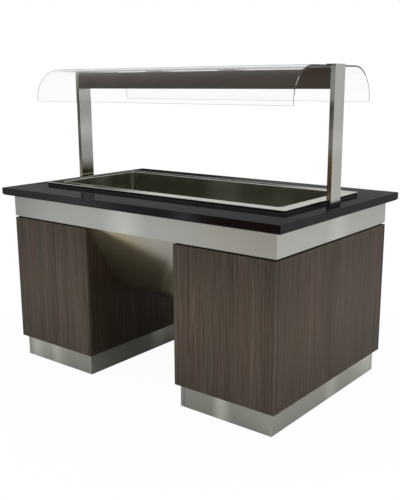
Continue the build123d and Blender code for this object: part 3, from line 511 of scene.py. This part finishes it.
def add_box(bm, x0, x1, y0, y1, z0, z1, bevel=0.0, seg=2):
    v = [bm.verts.new((x, y, z)) for x in sorted((x0, x1)) for y in sorted((y0, y1)) for z in sorted((z0, z1))]
    faces = [bm.faces.new([v[i] for i in q]) for q in
             ((0, 1, 3, 2), (4, 6, 7, 5), (0, 4, 5, 1), (2, 3, 7, 6), (0, 2, 6, 4), (1, 5, 7, 3))]
    if bevel:
        edges = list({e for f_ in faces for e in f_.edges})
        bmesh.ops.bevel(bm, geom=edges, offset=bevel, segments=seg, profile=0.5, affect="EDGES")


def add_tube(bm, pts, r, n=10, closed=False, flat=1.0):
    """A round bead along points; flat squeezes it along Z."""
    pts = [Vector(p) for p in pts]
    rings, count = [], len(pts)
    for i, p in enumerate(pts):
        a = pts[i - 1] if (i or closed) else p
        b = pts[(i + 1) % count] if (i + 1 < count or closed) else p
        d = (b - a).normalized()
        up = Vector((0, 0, 1)) if abs(d.z) < 0.9 else Vector((0, 1, 0))
        s_ = d.cross(up).normalized()
        w = s_.cross(d).normalized()
        ring = []
        for k in range(n):
            t_ = 2 * math.pi * k / n
            ring.append(bm.verts.new(p + s_ * math.cos(t_) * r + w * math.sin(t_) * r * flat))
        rings.append(ring)
    pairs = [(rings[i], rings[i + 1]) for i in range(count - 1)]
    if closed:
        pairs.append((rings[-1], rings[0]))
    for a, b in pairs:
        for k in range(n):
            bm.faces.new((a[k], a[(k + 1) % n], b[(k + 1) % n], b[k]))
    if not closed:
        bm.faces.new(rings[0])
        bm.faces.new(list(reversed(rings[-1])))


def add_lathe(bm, at, axis, profile, n=28, sides=None):
    """Turned shape: profile is (radius, height) from the axis at the bottom to the axis at the top.
    sides makes the rings of a small radius polygonal, as a hexagon socket is."""
    z = Vector(axis).normalized()
    x = z.orthogonal().normalized()
    y = z.cross(x)
    at = Vector(at)
    rings = []
    for r, h in profile:
        if r <= 1e-6:
            rings.append([bm.verts.new(at + z * h)])
            continue
        ring = []
        for k in range(n):
            t_ = 2 * math.pi * k / n
            rr = r
            if sides and r <= sides[1]:
                seg = 2 * math.pi / sides[0]
                rr = r * math.cos(seg / 2) / math.cos((t_ % seg) - seg / 2)
            ring.append(bm.verts.new(at + (x * math.cos(t_) + y * math.sin(t_)) * rr + z * h))
        rings.append(ring)
    for a, b in zip(rings, rings[1:]):
        for k in range(n):
            j = (k + 1) % n
            if len(a) == 1 and len(b) == 1:
                continue
            if len(a) == 1:
                bm.faces.new((a[0], b[k], b[j]))
            elif len(b) == 1:
                bm.faces.new((a[k], a[j], b[0]))
            else:
                bm.faces.new((a[k], a[j], b[j], b[k]))


def screw(bm, at, axis, r=3.2, h=1.3):
    """A domed screw head with a hexagon socket."""
    add_lathe(bm, at, axis, [(0, -0.3), (r, -0.3), (r, 0.15 * h), (r * 0.93, 0.55 * h), (r * 0.72, 0.9 * h), (r * 0.52, h),
                             (r * 0.44, h), (r * 0.42, 0.35 * h), (0, 0.30 * h)], n=24, sides=(6, r * 0.45))


def rounded(hx, hy, r, z, n=8):
    pts = []
    for cx, cy, a0 in ((hx - r, hy - r, 0), (-hx + r, hy - r, 90), (-hx + r, -hy + r, 180), (hx - r, -hy + r, 270)):
        for k in range(n + 1):
            a = math.radians(a0 + 90 * k / n)
            pts.append((cx + r * math.cos(a), cy + r * math.sin(a), z))
    return pts


# well: sealant round the surround, rolled edges on the rim in a steel lighter than the rim's, a painted highlight line,
# dressed welds at the mitres and corners
bm = bmesh.new()
add_tube(bm, rounded(694.2, 304.2, 3.6, 860.5), 1.9, 10, True)
made("surround_sealant_bead", bm, "silicone")

# lighter steel than the rim: a painted highlight line along each rolled edge
bm = bmesh.new()
add_tube(bm, rounded(693.6, 303.6, 3.2, 873.7), 1.9, 14, True)
made("rim_outer_rolled_edge", bm, "bead")
bm = bmesh.new()
add_tube(bm, rounded(641.2, 255.2, 21.1, 873.7), 1.9, 14, True)
made("rim_inner_rolled_edge", bm, "bead")

bm = bmesh.new()
for sx in (-1, 1):
    for sy in (-1, 1):
        add_tube(bm, [(sx * (637.5 + 55.0 * k / 12), sy * (247.5 + 55.0 * k / 12), 874.98) for k in range(13)], 1.1, 8, flat=0.22)
made("rim_mitre_welds", bm, "weld")

bm = bmesh.new()
for sx in (-1, 1):
    for sy in (-1, 1):
        add_tube(bm, [(sx * 620.0, sy * 253.95, 657 + 215 * k / 10) for k in range(11)], 0.9, 8, flat=0.35)
        add_box(bm, sx * 639.7, sx * 640.05, sy * 234.9, sy * 233.1, 657, 872, 0.12)
add_tube(bm, rounded(638.9, 252.9, 18.9, 656.2), 1.6, 8, True)
made("tank_corner_welds", bm, "weld")

# pressed falls in the floor of the well, towards the waste
bm = bmesh.new()
for a in range(8):
    t_ = math.radians(22.5 + 45 * a)
    p0 = Vector((-330 + 46 * math.cos(t_), 46 * math.sin(t_), 655.1))
    p1 = Vector((-330 + 92 * math.cos(t_), 92 * math.sin(t_), 655.1))
    add_tube(bm, [p0.lerp(p1, k / 6) for k in range(7)], 1.6, 8, flat=0.35)
made("tank_floor_creases", bm, "tank")

# pedestals: near-black strips at the corner and plinth joints, dark joint lines that also stand in for the shade in the
# joints; edge trims at the rear
bm = bmesh.new()
for sx in (-1, 1):
    add_box(bm, sx * 759.4, sx * 760.3, -443.4, -439.6, 100.6, 712.9, 0.1)
    add_box(bm, sx * 260.6, sx * 259.7, -443.0, -440.0, 100.6, 712.9, 0.1)
for x in (277.5 + 18.4, -740 + 18.4):
    add_box(bm, x - 0.9, x + 0.9, -440.25, -439.4, 0.6, 100.2, 0.1)
for x in (740.0, -277.5):
    add_box(bm, x - 0.6, x + 0.25, 420.7, 422.7, 0.6, 100.2, 0.1)
made("pedestal_and_plinth_joints", bm, "seam")
bm = bmesh.new()
for sx in (-1, 1):
    add_box(bm, sx * 759.8, sx * 760.9, 447.5, 459.9, 100.6, 712.9, 0.35)
    add_box(bm, sx * 758.4, sx * 760.9, 459.1, 459.9, 100.6, 712.9, 0.3)
    add_box(bm, sx * 260.2, sx * 259.1, 447.5, 459.9, 100.6, 712.9, 0.35)
made("rear_edge_trims", bm, "corner")

# rear fittings: screws in the hinges, roses under the pulls, door buffers
for side, sx in (("left", -1), ("right", 1)):
    bm = bmesh.new()
    for zc in (190.0, 620.0):
        for dz in (-21, 0, 21):
            screw(bm, (sx * 729.2, 460.5, zc + dz), (0, 1, 0), 3.0, 1.1)
    for z in (480.0, 608.0):
        add_lathe(bm, (sx * 322.0, 459.0, z), (0, 1, 0), [(5.1, 0), (9.5, 0), (9.5, 1.4), (8.8, 2.1), (5.1, 2.4)], n=32)
    made(side + "_door_screws_and_roses", bm, "fitting", side + "_door")
    bm = bmesh.new()
    for z in (150.0, 660.0):
        add_lathe(bm, (sx * 290.0, 441.05, z), (0, -1, 0), [(0, 0), (5, 0), (5, 0.5), (4.3, 1.2), (2.6, 1.6), (0, 1.7)], n=24)
    made(side + "_door_buffers", bm, "rubber", side + "_door")
bm = bmesh.new()
for sx in (-1, 1):
    for zc in (190.0, 620.0):
        for dz in (-21, 0, 21):
            screw(bm, (sx * 751.9, 460.5, zc + dz), (0, 1, 0), 2.9, 1.1)
for x in (-553.5, -346.5):
    for z in (734.5, 773.5):
        screw(bm, (x, 462.0, z), (0, 1, 0), 2.4, 1.1)
for y in (-246, -134):
    for z in (274, 406):
        screw(bm, (-278.0, y, z), (1, 0, 0), 2.6, 1.2)
        screw(bm, (-338.0, y, z), (-1, 0, 0), 2.6, 1.2)
for x in (-600, -200, 200, 600):
    screw(bm, (x, 0.0, 1328.0), (0, 0, -1), 2.4, 0.9)
for sx in (-1, 1):
    for x in (330.0, 510.0, 690.0):
        screw(bm, (sx * x, 440.0, 84.0), (0, 1, 0), 3.0, 1.2)
made("small_screws", bm, "fitting")

# terminal box: lid joint
# a near-black bead along the lid joint, a dark joint line that also stands in for the shade in the joint
bm = bmesh.new()
add_tube(bm, [(-294.0, y, z) for y, z in ((-260.6, 266), (-260.6, 414), (-254, 420.6), (-126, 420.6), (-119.4, 414),
                                           (-119.4, 266), (-126, 259.4), (-254, 259.4))], 0.8, 8, True)
made("terminal_box_lid_joint", bm, "seam")

# dial: numbers and marks on the panel, a pointer on the knob, marks on the rockers
DX, DZ = -385.0, 754.0


def dial_dir(deg):
    a = math.radians(deg)
    return -math.sin(a), math.cos(a)


bm = bmesh.new()
for k in range(19):
    cx, cz = dial_dir(225 + 15 * k)
    big = k % 3 == 0
    r0, r1 = 18.6, 20.8 if big else 19.9
    wx, wz = -cz * (0.35 if big else 0.2), cx * (0.35 if big else 0.2)
    q = [(DX + cx * r0 + wx, 462.06, DZ + cz * r0 + wz), (DX + cx * r1 + wx, 462.06, DZ + cz * r1 + wz),
         (DX + cx * r1 - wx, 462.06, DZ + cz * r1 - wz), (DX + cx * r0 - wx, 462.06, DZ + cz * r0 - wz)]
    ends = [bm.verts.new(p) for p in q] + [bm.verts.new((p[0], 462.0, p[2])) for p in q]
    for f_ in ((0, 1, 2, 3), (7, 6, 5, 4), (0, 4, 5, 1), (1, 5, 6, 2), (2, 6, 7, 3), (3, 7, 4, 0)):
        bm.faces.new([ends[i] for i in f_])
made("dial_scale_marks", bm, "mark")


def printed(name, text, size, at, body="cabinet", tilt=0.0, mat="mark"):
    """Plain raised print that reads from the +Y side."""
    c = bpy.data.curves.new(name, "FONT")
    c.body = text
    c.size = size * 0.001
    c.align_x, c.align_y = "CENTER", "CENTER"
    c.extrude = 0.00004
    c.resolution_u = 4
    tmp = bpy.data.objects.new(name + "_src", c)
    scene.collection.objects.link(tmp)
    bpy.context.view_layer.update()
    me = bpy.data.meshes.new_from_object(tmp.evaluated_get(bpy.context.evaluated_depsgraph_get()))
    bpy.data.objects.remove(tmp)
    joined = bmesh.new()              # faces and sides of the print share their edges
    joined.from_mesh(me)
    bmesh.ops.remove_doubles(joined, verts=joined.verts, dist=0.000002)
    joined.to_mesh(me)
    joined.free()
    me.transform(Matrix.Translation(Vector(at) * 0.001) @ Matrix.Rotation(math.radians(180), 4, "Z")
                 @ Matrix.Rotation(math.radians(90 + tilt), 4, "X"))
    me.name = name
    o = bpy.data.objects.new(name, me)
    scene.collection.objects.link(o)
    me.materials.clear()
    me.materials.append(M[mat])
    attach(o, body)
    return o


for k, label in enumerate(("0", "1", "2", "3", "4", "5", "6")):
    cx, cz = dial_dir(225 + 45 * k)
    printed("dial_number_" + label, label, 4.4, (DX + cx * 23.4, 462.05, DZ + cz * 23.4))
bm = bmesh.new()
cx, cz = dial_dir(225)
for r0, r1, w_ in ((5.0, 15.4, 0.75),):
    wx, wz = -cz * w_, cx * w_
    q = [(DX + cx * r0 + wx, 482.12, DZ + cz * r0 + wz), (DX + cx * r1 + wx, 482.12, DZ + cz * r1 + wz),
         (DX + cx * r1 - wx, 482.12, DZ + cz * r1 - wz), (DX + cx * r0 - wx, 482.12, DZ + cz * r0 - wz)]
    ends = [bm.verts.new(p) for p in q] + [bm.verts.new((p[0], 481.9, p[2])) for p in q]
    for f_ in ((0, 1, 2, 3), (7, 6, 5, 4), (0, 4, 5, 1), (1, 5, 6, 2), (2, 6, 7, 3), (3, 7, 4, 0)):
        bm.faces.new([ends[i] for i in f_])
made("dial_pointer", bm, "mark", "thermostat_dial")
for body, x in (("heater_switch", -480.0), ("lamp_switch", -525.0)):
    c10, s10 = math.cos(math.radians(10)), math.sin(math.radians(10))
    for label, u_, v_ in (("O", 7.0, 6.25), ("I", -7.0, 6.25)):
        lean = -10.0 + (8.5 if u_ > 0 else -8.5)
        y = 458.0 + v_ * c10 - u_ * s10 + 0.06
        z = 754.0 + u_ * c10 + v_ * s10
        printed(body + ("_mark_off" if label == "O" else "_mark_on"), label, 5.2, (x, y, z), body, lean)

# glass: ground edges at both ends and along the two lower edges
def glass_line(off, n=14):
    """Cross-section of the canopy, off millimetres in from its outer face: front edge, over the top, rear edge."""
    hy, top, r_ = 314.0 - off, 1420.0 - off, 140.0 - off
    pts = [(-hy, 1270.0), (-hy, 1420.0 - 140.0)]
    for k in range(1, n + 1):
        a = math.radians(180 - 90 * k / n)
        pts.append((-174.0 + r_ * math.cos(a), 1280.0 + r_ * math.sin(a)))
    for k in range(0, n + 1):
        a = math.radians(90 - 90 * k / n)
        pts.append((174.0 + r_ * math.cos(a), 1280.0 + r_ * math.sin(a)))
    pts.append((hy, 1270.0))
    return pts


# the left end takes the lighter, painted-lit copy of the edge finish
for sx, glass_name, glass_mat in ((1, "glass_ground_edge_right", "glass_edge"), (-1, "glass_ground_edge_left", "glass_edge_painted_lit")):
    bm = bmesh.new()
    outer, inner = glass_line(1.3), glass_line(4.5)
    quads = []
    for (ya, za), (yb, zb) in zip(outer, inner):
        quads.append([bm.verts.new((sx * x, y, z)) for x, y, z in
                      ((725.06, ya, za), (725.55, ya, za), (725.55, yb, zb), (725.06, yb, zb))])
    for a, b in zip(quads, quads[1:]):
        for k in range(4):
            j = (k + 1) % 4
            bm.faces.new((a[k], a[j], b[j], b[k]))
    bm.faces.new(quads[0])
    bm.faces.new(list(reversed(quads[-1])))
    made(glass_name, bm, glass_mat, sharp=50)
bm = bmesh.new()
for sy in (-1, 1):
    add_box(bm, -724.5, 724.5, sy * 308.4, sy * 313.6, 1269.1, 1269.94, 0.2)
made("glass_ground_lower_edges", bm, "glass_edge", sharp=50)

# posts: dark gap line above each pad
bm = bmesh.new()
for sx in (-1, 1):
    add_tube(bm, [(sx * x, y, 871.6) for x, y in ((726.3, -40.0), (727.5, -41.2), (746.5, -41.2), (747.7, -40.0),
                                                   (747.7, 40.0), (746.5, 41.2), (727.5, 41.2), (726.3, 40.0))], 0.8, 8, True)
made("post_base_joints", bm, "silicone")

# ------------------------------------------------------------------ stage
bpy.ops.mesh.primitive_circle_add(vertices=128, radius=4.6, fill_type="NGON", location=(0, 0, 0))
floor = bpy.context.object
floor.name = "floor"
ft = Tree("pale_floor")
ft.set(base=(0.93, 0.93, 0.925), rough=0.85, spec=0.1)
flen = ft.add("ShaderNodeVectorMath", operation="LENGTH")
ft.link(ft.obj(), flen.inputs[0])
near = ft.span(flen.outputs["Value"], 1.0, 1.9, 0.035, 0.0, True)
white = ft.add("ShaderNodeEmission")
white.inputs[0].default_value = (1, 1, 1, 1)
white.inputs[1].default_value = 1.0
seen = ft.add("ShaderNodeMixShader")
ft.link(near, seen.inputs[0])
ft.link(white.outputs[0], seen.inputs[1])
ft.link(ft.b.outputs[0], seen.inputs[2])
path = ft.add("ShaderNodeLightPath")
through = ft.math("MAXIMUM", path.outputs["Is Camera Ray"], path.outputs["Is Transmission Ray"])
both = ft.add("ShaderNodeMixShader")
ft.link(through, both.inputs[0])
ft.link(ft.b.outputs[0], both.inputs[1])
ft.link(seen.outputs[0], both.inputs[2])
ft.link(both.outputs[0], ft.out.inputs[0])
floor.data.materials.append(ft.m)

world = bpy.data.worlds.new("studio")
scene.world = world
world.use_nodes = True
wt = world.node_tree
wt.nodes.clear()


def wadd(kind, **props):
    n = wt.nodes.new(kind)
    for k, v in props.items():
        setattr(n, k, v)
    return n


def wmath(op, a, b):
    n = wadd("ShaderNodeMath", operation=op)
    for s, v in zip(n.inputs, (a, b)):
        if isinstance(v, bpy.types.NodeSocket):
            wt.links.new(v, s)
        else:
            s.default_value = v
    return n.outputs[0]


def wspan(v, a, b, c, d):
    n = wadd("ShaderNodeMapRange", clamp=True)
    n.interpolation_type = "SMOOTHSTEP"
    wt.links.new(v, n.inputs[0])
    for i, k in zip((1, 2, 3, 4), (a, b, c, d)):
        n.inputs[i].default_value = k
    return n.outputs[0]


wout = wadd("ShaderNodeOutputWorld")
wdir = wadd("ShaderNodeTexCoord").outputs["Generated"]
wsep = wadd("ShaderNodeSeparateXYZ")
wt.links.new(wdir, wsep.inputs[0])
height = wspan(wsep.outputs[2], 0.20, 0.75, 0.62, 0.46)
FLAG_AZ = math.radians(242.0)
flag = wadd("ShaderNodeVectorMath", operation="DOT_PRODUCT")
wt.links.new(wdir, flag.inputs[0])
flag.inputs[1].default_value = (math.cos(FLAG_AZ) * math.cos(-0.05), math.sin(FLAG_AZ) * math.cos(-0.05), math.sin(-0.05))
dark = wspan(flag.outputs["Value"], math.cos(math.radians(11)), math.cos(math.radians(5)), 0.0, 1.0)
def toward(az, el):
    n = wadd("ShaderNodeVectorMath", operation="DOT_PRODUCT")
    wt.links.new(wdir, n.inputs[0])
    a, e = math.radians(az), math.radians(el)
    n.inputs[1].default_value = (math.cos(a) * math.cos(e), math.sin(a) * math.cos(e), math.sin(e))
    return n.outputs["Value"]


behind = wspan(toward(128, 5), math.cos(math.radians(44)), math.cos(math.radians(32)), 0.0, 1.0)
WALL_AZ = math.radians(137.0)
ahead = wadd("ShaderNodeVectorMath", operation="DOT_PRODUCT")
wt.links.new(wdir, ahead.inputs[0])
ahead.inputs[1].default_value = (math.cos(WALL_AZ), math.sin(WALL_AZ), 0.0)
rise_ = wmath("DIVIDE", wsep.outputs[2], wmath("MAXIMUM", ahead.outputs["Value"], 0.05))
low = wspan(rise_, math.tan(math.radians(7.25)), math.tan(math.radians(7.75)), 1.0, 0.0)
below = wspan(wsep.outputs[2], math.sin(math.radians(-6.0)), math.sin(math.radians(-3.0)), 0.0, 1.0)
wall = wmath("MULTIPLY", wmath("MULTIPLY", behind, low), wmath("MULTIPLY", below, 0.93))
height = wmath("MULTIPLY", height, wmath("SUBTRACT", 1.0, wall))
wcol = wadd("ShaderNodeMix", data_type="RGBA")
wt.links.new(dark, wcol.inputs[0])
wval = wadd("ShaderNodeCombineColor")
for i in range(3):
    wt.links.new(height, wval.inputs[i])
wt.links.new(wval.outputs[0], wcol.inputs[6])
wcol.inputs[7].default_value = (0.115, 0.080, 0.055, 1)
room = wadd("ShaderNodeBackground")
wt.links.new(wcol.outputs[2], room.inputs[0])
room.inputs[1].default_value = 1.0
plain = wadd("ShaderNodeBackground")
plain.inputs[0].default_value = (1, 1, 1, 1)
plain.inputs[1].default_value = 1.0
lp = wadd("ShaderNodeLightPath")
mixs = wadd("ShaderNodeMixShader")
wt.links.new(wmath("MAXIMUM", lp.outputs["Is Camera Ray"], lp.outputs["Is Transmission Ray"]), mixs.inputs[0])
wt.links.new(room.outputs[0], mixs.inputs[1])
wt.links.new(plain.outputs[0], mixs.inputs[2])
wt.links.new(mixs.outputs[0], wout.inputs[0])


def softbox(name, at, to, size_x, size_y, power, color=(1, 1, 1), glossy=False):
    d = bpy.data.lights.new(name, "AREA")
    d.shape = "RECTANGLE"
    d.size, d.size_y = size_x, size_y
    d.energy = power
    d.color = color
    o = bpy.data.objects.new(name, d)
    scene.collection.objects.link(o)
    o.location = at
    o.rotation_mode = "QUATERNION"
    o.rotation_quaternion = (Vector(to) - Vector(at)).to_track_quat("-Z", "Y")
    o.visible_camera = False
    o.visible_transmission = False
    o.visible_glossy = glossy
    return o


softbox("key_front_left", (-3.6, -4.2, 3.4), (0, 0, 0.7), 3.4, 2.4, 75)
softbox("key_right_rear", (4.8, 2.6, 3.0), (0, 0, 0.7), 3.0, 2.2, 70)
softbox("top_fill", (0.5, -0.5, 5.2), (0, 0, 0), 4.5, 4.5, 110)

# ------------------------------------------------------------------ camera
CAM = (2.1548887, -2.6478254, 1.3564173)
YAW, PITCH, ROLL, F_PX = 0.67532, -0.2271795, -0.00499816, 726.84125
cy, sy, cp, sp = math.cos(YAW), math.sin(YAW), math.cos(PITCH), math.sin(PITCH)
f = Vector((-sy * cp, cy * cp, sp))
r = Vector((cy, sy, 0))
u = r.cross(f)
r2 = math.cos(ROLL) * r + math.sin(ROLL) * u
u2 = -math.sin(ROLL) * r + math.cos(ROLL) * u
cd = bpy.data.cameras.new("photo_camera")
cd.sensor_width = 36.0
cd.sensor_fit = "AUTO"
cd.lens = F_PX / 500.0 * 36.0
cd.clip_start, cd.clip_end = 0.05, 100
cam = bpy.data.objects.new("photo_camera", cd)
scene.collection.objects.link(cam)
cam.matrix_world = Matrix(((r2.x, u2.x, -f.x, CAM[0]), (r2.y, u2.y, -f.y, CAM[1]), (r2.z, u2.z, -f.z, CAM[2]), (0, 0, 0, 1)))
scene.camera = cam
